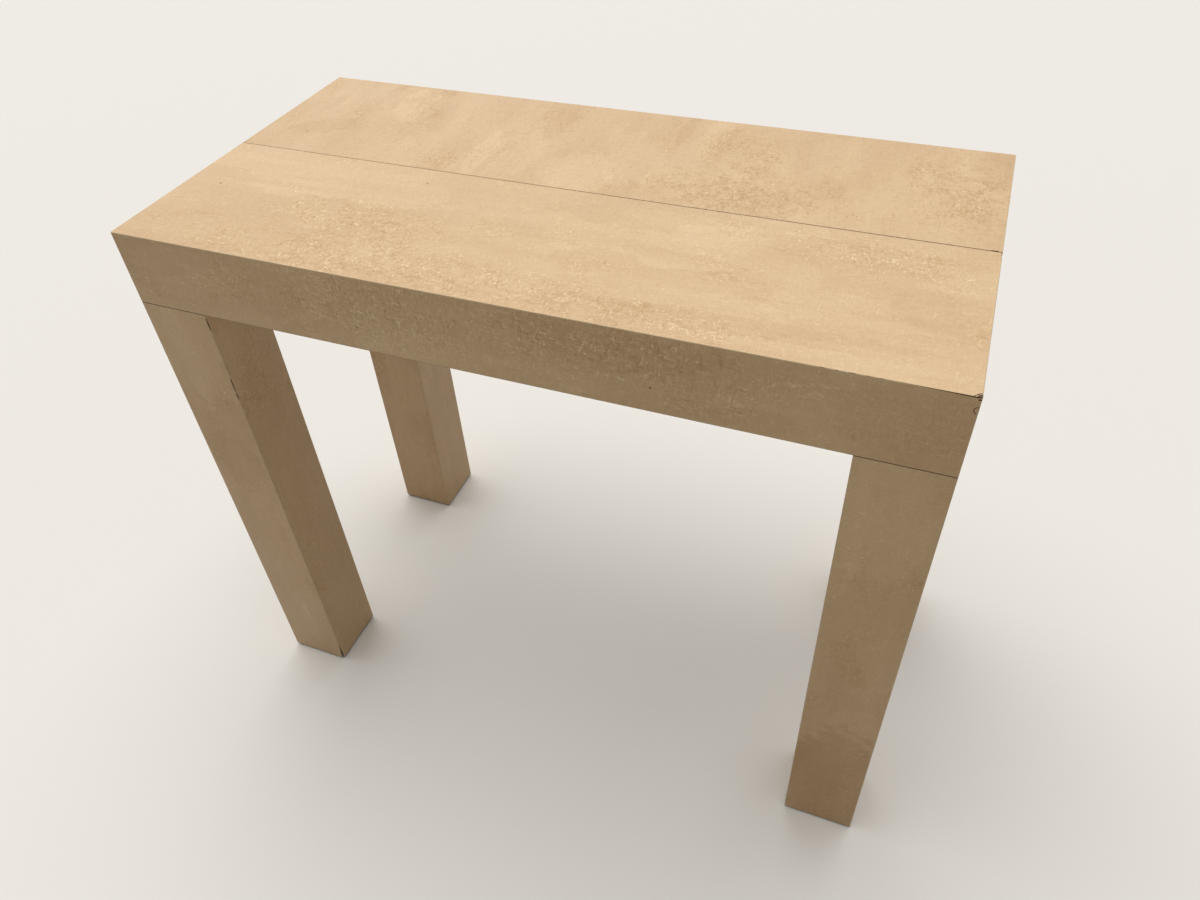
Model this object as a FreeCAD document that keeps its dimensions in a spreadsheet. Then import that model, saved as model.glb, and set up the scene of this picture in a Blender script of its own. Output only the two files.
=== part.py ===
import FreeCAD, Part
import os
import re
import Sketcher

# Extending console table in millimetres. Two half tops stand on box legs and draw apart on
# telescopic rails that nest under the tops. The origin is on the floor under the middle of the
# closed table: +X runs along its width, +Y towards the wall side and +Z up.

# Driving sizes: the alias of the cell, its value and what it measures.
SIZES = [
    ("table_width", 900, "width of the tops"),
    ("table_depth", 450, "closed depth, front face to back face"),
    ("table_height", 760, "floor to the top face"),
    ("seam_from_front", 230, "front face to the seam"),
    ("seam_gap", 0.8, "gap between the closed halves"),
    ("board", 18, "thickness of the tops and aprons"),
    ("apron_height", 90, "height of the boxed edge, top included"),
    ("leg_side", 90, "side of a square leg"),
    ("leg_wall", 18, "thickness of a leg's boards"),
    ("glide_height", 3, "gap that the glides leave under a leg"),
    ("glide_radius", 18, "radius of a foot glide"),
    ("glide_chamfer", 0.8, "chamfer round the sole of a glide"),
    ("glide_pin_radius", 2, "radius of a glide's pin"),
    ("glide_pin_length", 12, "length of a glide's pin"),
    ("plug_clearance", 0.1, "gap round a plug inside its leg"),
    ("head_plug_height", 45, "height of the plug in the head of a leg"),
    ("foot_plug_height", 30, "height of the plug in the foot of a leg"),
    ("plate_thickness", 18, "thickness of a corner plate"),
    ("fit_clearance", 0.05, "radial clearance of a pressed or turning piece"),
    ("bolt_spacing", 30, "distance between the two bolts of a leg"),
    ("bolt_radius", 4, "radius of a leg bolt"),
    ("bolt_length", 45, "length of a leg bolt under its head"),
    ("bolt_flange_radius", 9, "radius of a leg bolt's flange"),
    ("bolt_flange_height", 1.6, "thickness of a leg bolt's flange"),
    ("bolt_head_height", 8, "height of a leg bolt's head, flange included"),
    ("bolt_head_flats", 13, "width across the flats of a leg bolt's head"),
    ("bolt_clearance", 0.3, "radial clearance of a bolt in its corner plate"),
    ("insert_radius", 6, "radius of a threaded insert"),
    ("insert_length", 25, "length of a threaded insert"),
    ("thread_clearance", 0.1, "radial clearance of a bolt in its insert"),
    ("rail_width", 11, "width of a rail without its tongue"),
    ("rail_height", 40, "height of a rail"),
    ("rail_gap", 0.6, "gap between neighbouring rails"),
    ("rail_play", 0.4, "gap round a tongue in its slot"),
    ("rail_wall", 2, "wall round a rail's two chambers"),
    ("slot_neck", 10, "height of the mouth of a rail's slot"),
    ("slot_wide", 20, "height of the undercut of a rail's slot"),
    ("slot_lip", 2, "thickness of the lips of a rail's slot"),
    ("slot_depth", 6, "depth of a rail's slot, lips included"),
    ("rail_drop", 3, "gap from the tops down to the sliding rails"),
    ("rail_pack_inset", 74.5, "end apron to the outer edge of a rail pack"),
    ("rail_end_clearance", 7, "gap from an apron to the ends of the rails"),
    ("rail_overlap", 87.5, "hold of one rail in the next when fully drawn out"),
    ("flange_width", 22, "width of a fixed rail's screw flange"),
    ("flange_inset", 4, "seam to the end of a screw flange"),
    ("stop_length", 12, "length of a rail stop"),
    ("stop_height", 5, "height of a rail stop"),
    ("stop_base", 4, "width of a stop on its own rail"),
    ("stop_nose", 3, "reach of a stop under the next rail"),
    ("stop_relief", 0.5, "gap from a stop's nose up to the next rail"),
    ("stop_clearance", 0.3, "gap between two stops when fully drawn out"),
    ("screw_radius", 1.75, "radius of a wood screw"),
    ("screw_length", 14, "length of a wood screw under its head"),
    ("screw_head_radius", 3.5, "radius of a wood screw's head"),
    ("screw_head_height", 2.4, "height of a wood screw's head"),
    ("screw_clearance", 0.1, "radial clearance of a wood screw in its holes"),
    ("pilot_depth", 13, "depth of a screw's hole in a top"),
    ("dowel_radius", 4, "radius of a seam dowel"),
    ("dowel_hold", 18, "length of a seam dowel inside the front top"),
    ("dowel_reach", 12, "length of a seam dowel past the seam"),
    ("dowel_tip", 1.5, "chamfer on the free end of a seam dowel"),
    ("dowel_inset", 70, "end of the top to the outer seam dowels"),
    ("dowel_play", 0.2, "radial clearance of a seam dowel in its socket"),
    ("socket_radius", 5.5, "outer radius of a dowel socket"),
    ("socket_length", 14, "length of a dowel socket"),
    ("latch_offset", 90, "middle of the table to a latch"),
    ("latch_setback", 22, "seam to the pivot of a latch"),
    ("keeper_setback", 14, "seam to the stud of a keeper"),
    ("strap_width", 20, "width of a latch's base and keeper straps"),
    ("strap_thickness", 2, "thickness of those straps"),
    ("strap_margin", 10, "strap past its pivot, stud or last screw"),
    ("strap_screw_offset", 34, "pivot to the first screw of a base strap"),
    ("keeper_screw_offset", 18, "stud to the first screw of a keeper strap"),
    ("strap_screw_pitch", 16, "distance between the two screws of a strap"),
    ("lever_width", 16, "width of a latch lever"),
    ("lever_thickness", 3, "thickness of a latch lever"),
    ("lever_tail", 26, "pivot to the thumb end of a latch lever"),
    ("lever_tip", 9, "stud to the hook end of a latch lever"),
    ("lever_corner", 1.5, "radius of a latch lever's corners"),
    ("tab_length", 5, "length of the thumb tab along the lever"),
    ("tab_height", 9, "drop of the thumb tab under the lever"),
    ("latch_play", 0.3, "gap above and below a latch lever"),
    ("notch_clearance", 1.2, "gap round a stud in a latch lever's notch"),
    ("pivot_radius", 3, "radius of a latch pivot"),
    ("pivot_head_radius", 5, "radius of a latch pivot's head"),
    ("pivot_head_height", 2, "height of a latch pivot's head"),
    ("stud_radius", 3, "radius of a keeper's stud"),
    ("stud_length", 6, "drop of a keeper's stud under its strap"),
]
SIZE_NAMES = {alias for alias, size, meaning in SIZES}

# Rails in each pack: the first is fixed to the rear half, the last to the front half.
RAILS = 9
SIDES = {"left": -1, "right": 1}
HALVES = {"front": -1, "rear": 1}

# Places worked out from the sizes, as expressions.
HALF_WIDTH = "table_width / 2"
UNDERSIDE = "(table_height - board)"
APRON_FOOT = "(table_height - apron_height)"
SEAM = {
    "front": "(seam_from_front - table_depth / 2)",
    "rear": "(seam_from_front + seam_gap - table_depth / 2)",
}
HALF_DEPTH = {
    "front": "seam_from_front",
    "rear": "(table_depth - seam_from_front - seam_gap)",
}
RAIL_LENGTH = "(table_depth - 2 * board - 2 * rail_end_clearance)"
RAIL_FOOT = f"({UNDERSIDE} - rail_drop - rail_height)"
PIVOT_Y = f"({SEAM['front']} - latch_setback)"
STUD_Y = f"({SEAM['rear']} + keeper_setback)"
LATCH_REACH = "(latch_setback + seam_gap + keeper_setback)"
LEVER_TOP = f"({UNDERSIDE} - strap_thickness - latch_play)"

doc = FreeCAD.newDocument("extending_console_table")
sheet = doc.addObject("Spreadsheet::Sheet", "Sizes")
for row, (alias, size, meaning) in enumerate(SIZES, start=1):
    sheet.set(f"A{row}", meaning)
    sheet.set(f"B{row}", str(size))
    sheet.setAlias(f"B{row}", alias)
doc.recompute()

nodes = []


# Helpers that bind geometry to the sheet

def sized(text):
    """The expression with every size's name turned into a reference to its cell."""
    return re.sub(r"[a-z_]+", lambda word: f"Sizes.{word[0]}" if word[0] in SIZE_NAMES else word[0], text)


def value(text):
    return float(sheet.evalExpression(sized(text)))


def new_body(label, x="0", y="0", z="0", rotation=None):
    """An empty body whose place follows the sheet."""
    body = doc.addObject("PartDesign::Body", label)
    if rotation:
        body.Placement = FreeCAD.Placement(FreeCAD.Vector(), rotation)
    for axis, text in zip("xyz", (x, y, z)):
        body.setExpression(f"Placement.Base.{axis}", sized(text))
    return body


def new_sketch(body, plane, level="0"):
    """An empty sketch on one of the body's own origin planes, moved by level along its normal."""
    sketch = body.newObject("Sketcher::SketchObject", "outline")
    origin_plane = next(feature for feature in body.Origin.OriginFeatures if feature.Role == plane)
    sketch.AttachmentSupport = [(origin_plane, "")]
    sketch.MapMode = "FlatFace"
    sketch.setExpression("AttachmentOffset.Base.z", sized(level))
    return sketch


def fix_point(sketch, geometry, point, x, y):
    """Holds a point of the sketch at two distances from its origin."""
    for kind, text in (("DistanceX", x), ("DistanceY", y)):
        index = sketch.addConstraint(Sketcher.Constraint(kind, -1, 1, geometry, point, value(text)))
        sketch.setExpression(f"Constraints[{index}]", sized(text))


def add_polygon(sketch, corners):
    """A closed outline through corners given as pairs of expressions."""
    first = sketch.GeometryCount
    points = [FreeCAD.Vector(value(x), value(y), 0) for x, y in corners]
    for start, end in zip(points, points[1:] + points[:1]):
        sketch.addGeometry(Part.LineSegment(start, end))
    for step, (x, y) in enumerate(corners):
        following = first + (step + 1) % len(corners)
        sketch.addConstraint(Sketcher.Constraint("Coincident", first + step, 2, following, 1))
        fix_point(sketch, first + step, 1, x, y)


def add_circle(sketch, x, y, radius):
    circle = Part.Circle(FreeCAD.Vector(value(x), value(y), 0), FreeCAD.Vector(0, 0, 1), value(radius))
    index = sketch.addGeometry(circle)
    fix_point(sketch, index, 3, x, y)
    held = sketch.addConstraint(Sketcher.Constraint("Radius", index, value(radius)))
    sketch.setExpression(f"Constraints[{held}]", sized(radius))


def pad(body, sketch, length, both_ways=False, reverse=False):
    feature = body.newObject("PartDesign::Pad", "pad")
    feature.Profile = sketch
    feature.setExpression("Length", sized(length))
    feature.Midplane = both_ways
    feature.Reversed = reverse
    doc.recompute()


def pocket(body, sketch, depth=None, reverse=False):
    """Cuts to a depth, or right through both ways. Stops the build if nothing was cut."""
    before = body.Shape.Volume
    feature = body.newObject("PartDesign::Pocket", "pocket")
    feature.Profile = sketch
    if depth:
        feature.setExpression("Length", sized(depth))
        feature.Reversed = reverse
    else:
        feature.Type = "ThroughAll"
        feature.Midplane = True
    doc.recompute()
    if not body.Shape.Volume < before:
        raise RuntimeError(f"a pocket of {body.Label} cut nothing")


def turned(label, profile, x, y, z, rotation=None):
    """A piece turned about its own Z axis from a profile of radius and height pairs."""
    body = new_body(label, x, y, z, rotation)
    sketch = new_sketch(body, "XZ_Plane")
    add_polygon(sketch, profile)
    feature = body.newObject("PartDesign::Revolution", "turning")
    feature.Profile = sketch
    feature.ReferenceAxis = (sketch, ["V_Axis"])
    doc.recompute()
    return body


def group(label, pieces):
    """One node that holds several separate pieces."""
    compound = doc.addObject("Part::Compound", label)
    compound.Links = pieces
    nodes.append(compound)


# Tops and aprons: laminated boards mitred at every outer edge

def top_panel(half):
    """Half of the top. Its outer edges are mitred, and its seam edge and underside are drilled."""
    outward = HALVES[half]
    depth = HALF_DEPTH[half]
    body = new_body(f"{half}_top_panel", y=SEAM[half], z="table_height")
    section = new_sketch(body, "XZ_Plane")
    add_polygon(section, [
        (f"-{HALF_WIDTH}", "0"),
        (HALF_WIDTH, "0"),
        (f"{HALF_WIDTH} - board", "-board"),
        (f"board - {HALF_WIDTH}", "-board"),
    ])
    pad(body, section, depth, reverse=outward > 0)
    mitre = new_sketch(body, "YZ_Plane")
    add_polygon(mitre, [
        (f"{outward} * {depth}", "-board"),
        (f"{outward} * ({depth} - board)", "-board"),
        (f"{outward} * {depth}", "0"),
    ])
    pocket(body, mitre)
    seam_holes = new_sketch(body, "XZ_Plane")
    radius, length = {
        "front": ("dowel_radius + fit_clearance", "dowel_hold"),
        "rear": ("socket_radius + fit_clearance", "socket_length"),
    }[half]
    for x in DOWEL_PLACES:
        add_circle(seam_holes, x, "-board / 2", radius)
    pocket(body, seam_holes, length, reverse=outward < 0)
    pilots = new_sketch(body, "XY_Plane", "-board")
    for x, y, z in screw_places(half):
        add_circle(pilots, x, f"{y} - {SEAM[half]}", "screw_radius + screw_clearance")
    pocket(body, pilots, "pilot_depth", reverse=True)
    nodes.append(body)


def long_apron(half):
    """The apron along the front or the back, mitred to the top and to the two ends."""
    outward = HALVES[half]
    inner = f"{-outward} * board"
    body = new_body(f"{half}_apron", y=f"{outward} * table_depth / 2", z=APRON_FOOT)
    section = new_sketch(body, "YZ_Plane")
    add_polygon(section, [("0", "0"), (inner, "0"), (inner, "apron_height - board"), ("0", "apron_height")])
    pad(body, section, "table_width", both_ways=True)
    mitres = new_sketch(body, "XY_Plane")
    for side in SIDES.values():
        end = f"{side} * {HALF_WIDTH}"
        add_polygon(mitres, [(end, "0"), (end, inner), (f"{side} * ({HALF_WIDTH} - board)", inner)])
    pocket(body, mitres)
    nodes.append(body)


def end_apron(half, side):
    """The short apron at one end of a half, square at the seam."""
    outward = HALVES[half]
    inner = f"{-SIDES[side]} * board"
    depth = HALF_DEPTH[half]
    body = new_body(
        f"{half}_{side}_end_apron", x=f"{SIDES[side]} * {HALF_WIDTH}", y=SEAM[half], z=APRON_FOOT
    )
    section = new_sketch(body, "XZ_Plane")
    add_polygon(section, [("0", "0"), (inner, "0"), (inner, "apron_height - board"), ("0", "apron_height")])
    pad(body, section, depth, reverse=outward > 0)
    mitre = new_sketch(body, "XY_Plane")
    far_end = f"{outward} * {depth}"
    add_polygon(mitre, [("0", far_end), (inner, far_end), (inner, f"{outward} * ({depth} - board)")])
    pocket(body, mitre)
    nodes.append(body)


# Legs: four mitred boards round two plugs, bolted under a corner plate

def leg_place(half, side):
    """The axis of a leg."""
    return (
        f"{SIDES[side]} * ({HALF_WIDTH} - leg_side / 2)",
        f"{HALVES[half]} * (table_depth / 2 - leg_side / 2)",
    )


def leg_boards(half, side):
    """Four mitred boards that make a hollow square leg."""
    x, y = leg_place(half, side)
    outer, inner = "leg_side / 2", "(leg_side / 2 - leg_wall)"
    boards = []
    for quarter_turn in range(4):
        rotation = FreeCAD.Rotation(FreeCAD.Vector(0, 0, 1), 90 * quarter_turn)
        body = new_body(f"{half}_{side}_leg_board_{quarter_turn + 1}", x, y, "glide_height", rotation)
        section = new_sketch(body, "XY_Plane")
        add_polygon(section, [
            (f"-{outer}", f"-{outer}"),
            (outer, f"-{outer}"),
            (inner, f"-{inner}"),
            (f"-{inner}", f"-{inner}"),
        ])
        pad(body, section, f"{APRON_FOOT} - glide_height")
        boards.append(body)
    group(f"{half}_{side}_leg", boards)


def leg_plug(label, half, side, foot, height, holes):
    """A chipboard plug that fills the inside of a leg, bored right through."""
    x, y = leg_place(half, side)
    body = new_body(label, x, y, foot)
    section = new_sketch(body, "XY_Plane")
    reach = "(leg_side / 2 - leg_wall - plug_clearance)"
    square = ((-1, -1), (1, -1), (1, 1), (-1, 1))
    add_polygon(section, [(f"{a} * {reach}", f"{b} * {reach}") for a, b in square])
    for hole_x, radius in holes:
        add_circle(section, hole_x, "0", radius)
    pad(body, section, height)
    return body


BOLT_PLACES = ("-bolt_spacing / 2", "bolt_spacing / 2")


def leg_plugs(half):
    pieces = []
    for side in SIDES:
        insert_holes = [(x, "insert_radius + fit_clearance") for x in BOLT_PLACES]
        pin_hole = [("0", "glide_pin_radius + fit_clearance")]
        pieces.append(leg_plug(
            f"{half}_{side}_head_plug", half, side,
            f"{APRON_FOOT} - head_plug_height", "head_plug_height", insert_holes,
        ))
        pieces.append(leg_plug(
            f"{half}_{side}_foot_plug", half, side, "glide_height", "foot_plug_height", pin_hole,
        ))
    group(f"{half}_leg_plugs", pieces)


def corner_plates(half):
    """Boards glued into the corners of the aprons, which the legs are bolted to."""
    pieces = []
    for side in SIDES:
        x, y = leg_place(half, side)
        body = new_body(f"{half}_{side}_corner_plate", x, y, APRON_FOOT)
        outer = "(leg_side / 2 - board)"
        outer_x, inner_x = f"{SIDES[side]} * {outer}", f"{-SIDES[side]} * leg_side / 2"
        outer_y, inner_y = f"{HALVES[half]} * {outer}", f"{-HALVES[half]} * leg_side / 2"
        section = new_sketch(body, "XY_Plane")
        add_polygon(section, [
            (outer_x, outer_y),
            (inner_x, outer_y),
            (inner_x, inner_y),
            (outer_x, inner_y),
        ])
        for bolt_x in BOLT_PLACES:
            add_circle(section, bolt_x, "0", "bolt_radius + bolt_clearance")
        pad(body, section, "plate_thickness")
        pieces.append(body)
    group(f"{half}_corner_plates", pieces)


def leg_bolts(half):
    """Hexagon flange bolts that drop through the corner plates into the legs."""
    hexagon = [(2, 0), (1, 1), (-1, 1), (-2, 0), (-1, -1), (1, -1)]
    pieces = []
    for side in SIDES:
        x, y = leg_place(half, side)
        for bolt_x in BOLT_PLACES:
            body = turned(
                f"{half}_{side}_leg_bolt",
                [
                    ("0", "-bolt_length"),
                    ("bolt_radius", "-bolt_length"),
                    ("bolt_radius", "0"),
                    ("bolt_flange_radius", "0"),
                    ("bolt_flange_radius", "bolt_flange_height"),
                    ("0", "bolt_flange_height"),
                ],
                f"{x} + {bolt_x}", y, f"{APRON_FOOT} + plate_thickness",
            )
            head = new_sketch(body, "XY_Plane")
            add_polygon(head, [
                (f"{a} * bolt_head_flats / 2 / sqrt(3)", f"{b} * bolt_head_flats / 2") for a, b in hexagon
            ])
            pad(body, head, "bolt_head_height")
            pieces.append(body)
    group(f"{half}_leg_bolts", pieces)


def leg_inserts(half):
    """Threaded sleeves in the heads of the legs, which take the bolts."""
    bore = "bolt_radius + thread_clearance"
    pieces = []
    for side in SIDES:
        x, y = leg_place(half, side)
        for bolt_x in BOLT_PLACES:
            pieces.append(turned(
                f"{half}_{side}_leg_insert",
                [
                    (bore, "-insert_length"),
                    ("insert_radius", "-insert_length"),
                    ("insert_radius", "0"),
                    (bore, "0"),
                ],
                f"{x} + {bolt_x}", y, APRON_FOOT,
            ))
    group(f"{half}_leg_inserts", pieces)


def foot_glides(half):
    """Nylon glides with a pin pressed into the foot plugs."""
    pin_end = "glide_height + glide_pin_length"
    pieces = []
    for side in SIDES:
        x, y = leg_place(half, side)
        pieces.append(turned(
            f"{half}_{side}_foot_glide",
            [
                ("0", "0"),
                ("glide_radius - glide_chamfer", "0"),
                ("glide_radius", "glide_chamfer"),
                ("glide_radius", "glide_height"),
                ("glide_pin_radius", "glide_height"),
                ("glide_pin_radius", pin_end),
                ("0", pin_end),
            ],
            x, y, "0",
        ))
    group(f"{half}_foot_glides", pieces)


# Telescopic rails: each rail's tongue runs in the slot of the rail outside it

def rail_x(side, number):
    """The middle of a rail. Rail 1 is the outermost one of its pack."""
    outermost = f"{HALF_WIDTH} - board - rail_pack_inset - flange_width - rail_width / 2"
    return f"{SIDES[side]} * ({outermost} - {number - 1} * (rail_width + rail_gap))"


def slot_corners():
    """The undercut slot in the inner side of a rail, from its foot up."""
    face, lip, floor = "rail_width / 2", "(rail_width / 2 - slot_lip)", "(rail_width / 2 - slot_depth)"
    lower = [
        (face, "(rail_height - slot_neck) / 2"),
        (lip, "(rail_height - slot_neck) / 2"),
        (lip, "(rail_height - slot_wide) / 2"),
        (floor, "(rail_height - slot_wide) / 2"),
    ]
    return lower + [(across, f"rail_height - {up}") for across, up in reversed(lower)]


def tongue_corners():
    """The T tongue on the outer side of a rail, from its head down."""
    face = "-rail_width / 2"
    neck = "(-rail_width / 2 - rail_gap - slot_lip - rail_play)"
    head = "(-rail_width / 2 - rail_gap - slot_depth + rail_play)"
    upper = [
        (face, "((rail_height + slot_neck) / 2 - rail_play)"),
        (neck, "((rail_height + slot_neck) / 2 - rail_play)"),
        (neck, "((rail_height + slot_wide) / 2 - rail_play)"),
        (head, "((rail_height + slot_wide) / 2 - rail_play)"),
    ]
    return upper + [(across, f"rail_height - {up}") for across, up in reversed(upper)]


def chamber_corners(foot, head):
    """One of the two hollow chambers of a rail's extruded section."""
    reach = "(rail_width / 2 - rail_wall)"
    return [(f"-{reach}", foot), (reach, foot), (reach, head), (f"-{reach}", head)]


def flange_span(half):
    """Where the screw flange of a half's fixed rail starts at the seam and ends."""
    outward = HALVES[half]
    return f"({SEAM[half]} + {outward} * flange_inset)", f"({outward} * {RAIL_LENGTH} / 2)"


def flange_screws(half):
    """Screws along the flange of a half's fixed rail."""
    start, end = flange_span(half)
    return [f"({start} + ({end} - {start}) * {share})" for share in ("1 / 6", "1 / 2", "5 / 6")]


def rail(label, side, number):
    """An aluminium rail. The first and last of a pack have a flange that screws under a top."""
    inward = -SIDES[side]
    body = new_body(label, rail_x(side, number), "0", RAIL_FOOT)
    section = new_sketch(body, "XZ_Plane")
    outline = [("-rail_width / 2", "0"), ("rail_width / 2", "0")]
    outline += slot_corners() if number < RAILS else []
    outline += [("rail_width / 2", "rail_height"), ("-rail_width / 2", "rail_height")]
    outline += tongue_corners() if number > 1 else []
    chamber_head = "(rail_height - slot_wide) / 2 - rail_wall"
    for corners in (
        outline,
        chamber_corners("rail_wall", chamber_head),
        chamber_corners(f"rail_height - ({chamber_head})", "rail_height - rail_wall"),
    ):
        add_polygon(section, [(f"{inward} * ({across})", up) for across, up in corners])
    pad(body, section, RAIL_LENGTH, both_ways=True)
    if number in (1, RAILS):
        half, free_side = ("rear", -inward) if number == 1 else ("front", inward)
        start, end = flange_span(half)
        flange = new_sketch(body, "XY_Plane", "rail_height")
        free_edge = f"{free_side} * (rail_width / 2 + flange_width)"
        rail_edge = f"{-free_side} * rail_width / 2"
        add_polygon(flange, [(free_edge, start), (rail_edge, start), (rail_edge, end), (free_edge, end)])
        for y in flange_screws(half):
            screw_x = f"{free_side} * (rail_width + flange_width) / 2"
            add_circle(flange, screw_x, y, "screw_radius + screw_clearance")
        pad(body, flange, "rail_drop")
    nodes.append(body)


def rail_stop(label, side, number, end):
    """A nylon stop under a rail, whose nose catches the stop of the neighbouring rail."""
    towards = -SIDES[side] if end == "front" else SIDES[side]
    foot = {
        "front": f"rail_overlap - {RAIL_LENGTH} / 2 - 2 * stop_length - stop_clearance",
        "rear": f"{RAIL_LENGTH} / 2 - stop_length",
    }[end]
    body = new_body(label, rail_x(side, number), foot, RAIL_FOOT)
    base, face = "(rail_width / 2 - stop_base)", "rail_width / 2"
    nose = "(rail_width / 2 + rail_gap + stop_nose)"
    section = new_sketch(body, "XZ_Plane")
    add_polygon(section, [(f"{towards} * {across}", up) for across, up in (
        (base, "0"),
        (face, "0"),
        (face, "-stop_relief"),
        (nose, "-stop_relief"),
        (nose, "-stop_height"),
        (base, "-stop_height"),
    )])
    pad(body, section, "stop_length", reverse=True)
    return body


def rail_pack():
    """Every rail and stop, named for the half or the sliding stage that it belongs to."""
    for number in range(1, RAILS + 1):
        owner = {1: "rear", RAILS: "front"}.get(number, f"slide_stage_{number - 1}")
        stops = []
        for side in SIDES:
            rail(f"{owner}_{side}_rail", side, number)
            if number < RAILS:
                stops.append(rail_stop(f"{owner}_{side}_front_stop", side, number, "front"))
            if number > 1:
                stops.append(rail_stop(f"{owner}_{side}_rear_stop", side, number, "rear"))
        group(f"{owner}_rail_stops", stops)


# Seam fittings: dowels that line the halves up and latches that hold them together

DOWEL_PLACES = (f"dowel_inset - {HALF_WIDTH}", "0", f"{HALF_WIDTH} - dowel_inset")
ALONG_Y = FreeCAD.Rotation(FreeCAD.Vector(1, 0, 0), -90)


def seam_dowels():
    """Dowels fixed in the front top, which enter the sockets as the table closes."""
    tip = "dowel_hold + dowel_reach"
    profile = [
        ("0", "0"),
        ("dowel_radius", "0"),
        ("dowel_radius", f"{tip} - dowel_tip"),
        ("dowel_radius - dowel_tip", tip),
        ("0", tip),
    ]
    height = "table_height - board / 2"
    group("seam_dowels", [
        turned("seam_dowel", profile, x, f"{SEAM['front']} - dowel_hold", height, ALONG_Y)
        for x in DOWEL_PLACES
    ])


def dowel_sockets():
    """Plastic sleeves in the seam edge of the rear top."""
    bore = "dowel_radius + dowel_play"
    profile = [
        (bore, "0"),
        ("socket_radius", "0"),
        ("socket_radius", "socket_length"),
        (bore, "socket_length"),
    ]
    height = "table_height - board / 2"
    group("dowel_sockets", [
        turned("dowel_socket", profile, x, SEAM["rear"], height, ALONG_Y) for x in DOWEL_PLACES
    ])


def latch_x(side):
    return f"{SIDES[side]} * latch_offset"


def strap_screws(half):
    """The two screws of a latch's base strap, or of its keeper strap on the rear half."""
    start, offset = {
        "front": (PIVOT_Y, "strap_screw_offset"),
        "rear": (STUD_Y, "keeper_screw_offset"),
    }[half]
    return [f"({start} + {HALVES[half]} * ({offset} + {step} * strap_screw_pitch))" for step in (0, 1)]


def strap(label, half, side):
    """A steel strap under a top, from past its pivot or stud to past its last screw."""
    outward = HALVES[half]
    origin = PIVOT_Y if half == "front" else STUD_Y
    body = new_body(label, latch_x(side), "0", f"{UNDERSIDE} - strap_thickness")
    section = new_sketch(body, "XY_Plane")
    start = f"({origin} - {outward} * strap_margin)"
    end = f"({strap_screws(half)[1]} + {outward} * strap_margin)"
    edge = "strap_width / 2"
    add_polygon(section, [(f"-{edge}", start), (edge, start), (edge, end), (f"-{edge}", end)])
    for y in strap_screws(half):
        add_circle(section, "0", y, "screw_radius + screw_clearance")
    pad(body, section, "strap_thickness")
    return body


def latch_bases():
    group("latch_bases", [strap(f"{side}_latch_base", "front", side) for side in SIDES])


def latch_keepers():
    """Straps with a stud that the levers hook round."""
    pieces = []
    for side in SIDES:
        body = strap(f"{side}_latch_keeper", "rear", side)
        stud = new_sketch(body, "XY_Plane")
        add_circle(stud, "0", STUD_Y, "stud_radius")
        pad(body, stud, "stud_length", reverse=True)
        pieces.append(body)
    group("latch_keepers", pieces)


def latch_pivots():
    """Headed pivots under the base straps, which the levers turn on."""
    shoulder = "-lever_thickness - 2 * latch_play"
    head = f"{shoulder} - pivot_head_height"
    profile = [
        ("0", "0"),
        ("0", head),
        ("pivot_head_radius", head),
        ("pivot_head_radius", shoulder),
        ("pivot_radius", shoulder),
        ("pivot_radius", "0"),
    ]
    level = f"{UNDERSIDE} - strap_thickness"
    group("latch_pivots", [
        turned(f"{side}_latch_pivot", profile, latch_x(side), PIVOT_Y, level) for side in SIDES
    ])


def latch_lever(side):
    """A hooked lever, stored open along the seam, with a tab for the thumb at its outer end."""
    inward = -SIDES[side]
    body = new_body(f"{side}_latch_lever", latch_x(side), PIVOT_Y, f"{LEVER_TOP} - lever_thickness")
    notch = "(stud_radius + notch_clearance)"
    tip = f"({LATCH_REACH} + lever_tip)"
    edge = "lever_width / 2"
    outline = [
        ("-lever_tail", f"-{edge}"),
        (tip, f"-{edge}"),
        (tip, edge),
        (f"{LATCH_REACH} + {notch}", edge),
        (f"{LATCH_REACH} + {notch}", f"-{notch}"),
        (f"{LATCH_REACH} - {notch}", f"-{notch}"),
        (f"{LATCH_REACH} - {notch}", edge),
        ("-lever_tail", edge),
    ]
    section = new_sketch(body, "XY_Plane")
    add_polygon(section, [(f"{inward} * ({along})", across) for along, across in outline])
    pad(body, section, "lever_thickness")
    blank = body.Tip
    upright = [
        f"Edge{number}"
        for number, corner in enumerate(blank.Shape.Edges, start=1)
        if abs(corner.Curve.Direction.z) > 0.5
    ]
    corners = body.newObject("PartDesign::Fillet", "corners")
    corners.Base = (blank, upright)
    corners.setExpression("Radius", sized("lever_corner"))
    bore = new_sketch(body, "XY_Plane")
    add_circle(bore, "0", "0", "pivot_radius + fit_clearance")
    pocket(body, bore)
    tab = new_sketch(body, "XY_Plane")
    tab_outer = f"{inward} * (lever_corner - lever_tail)"
    tab_inner = f"{inward} * (lever_corner - lever_tail + tab_length)"
    tab_edge = "(lever_width / 2 - lever_corner)"
    add_polygon(tab, [
        (tab_outer, f"-{tab_edge}"),
        (tab_inner, f"-{tab_edge}"),
        (tab_inner, tab_edge),
        (tab_outer, tab_edge),
    ])
    pad(body, tab, "tab_height", reverse=True)
    nodes.append(body)


# Wood screws that hold the fixed rails and the latch straps under the tops

def screw_places(half):
    """Where each wood screw of a half stands, with the level of the face under its head."""
    number, free_side = (RAILS, -1) if half == "front" else (1, 1)
    places = []
    for side in SIDES:
        flange_x = f"{rail_x(side, number)} + {free_side * SIDES[side]} * (rail_width + flange_width) / 2"
        places += [(flange_x, y, f"{UNDERSIDE} - rail_drop") for y in flange_screws(half)]
        places += [(latch_x(side), y, f"{UNDERSIDE} - strap_thickness") for y in strap_screws(half)]
    return places


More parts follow.
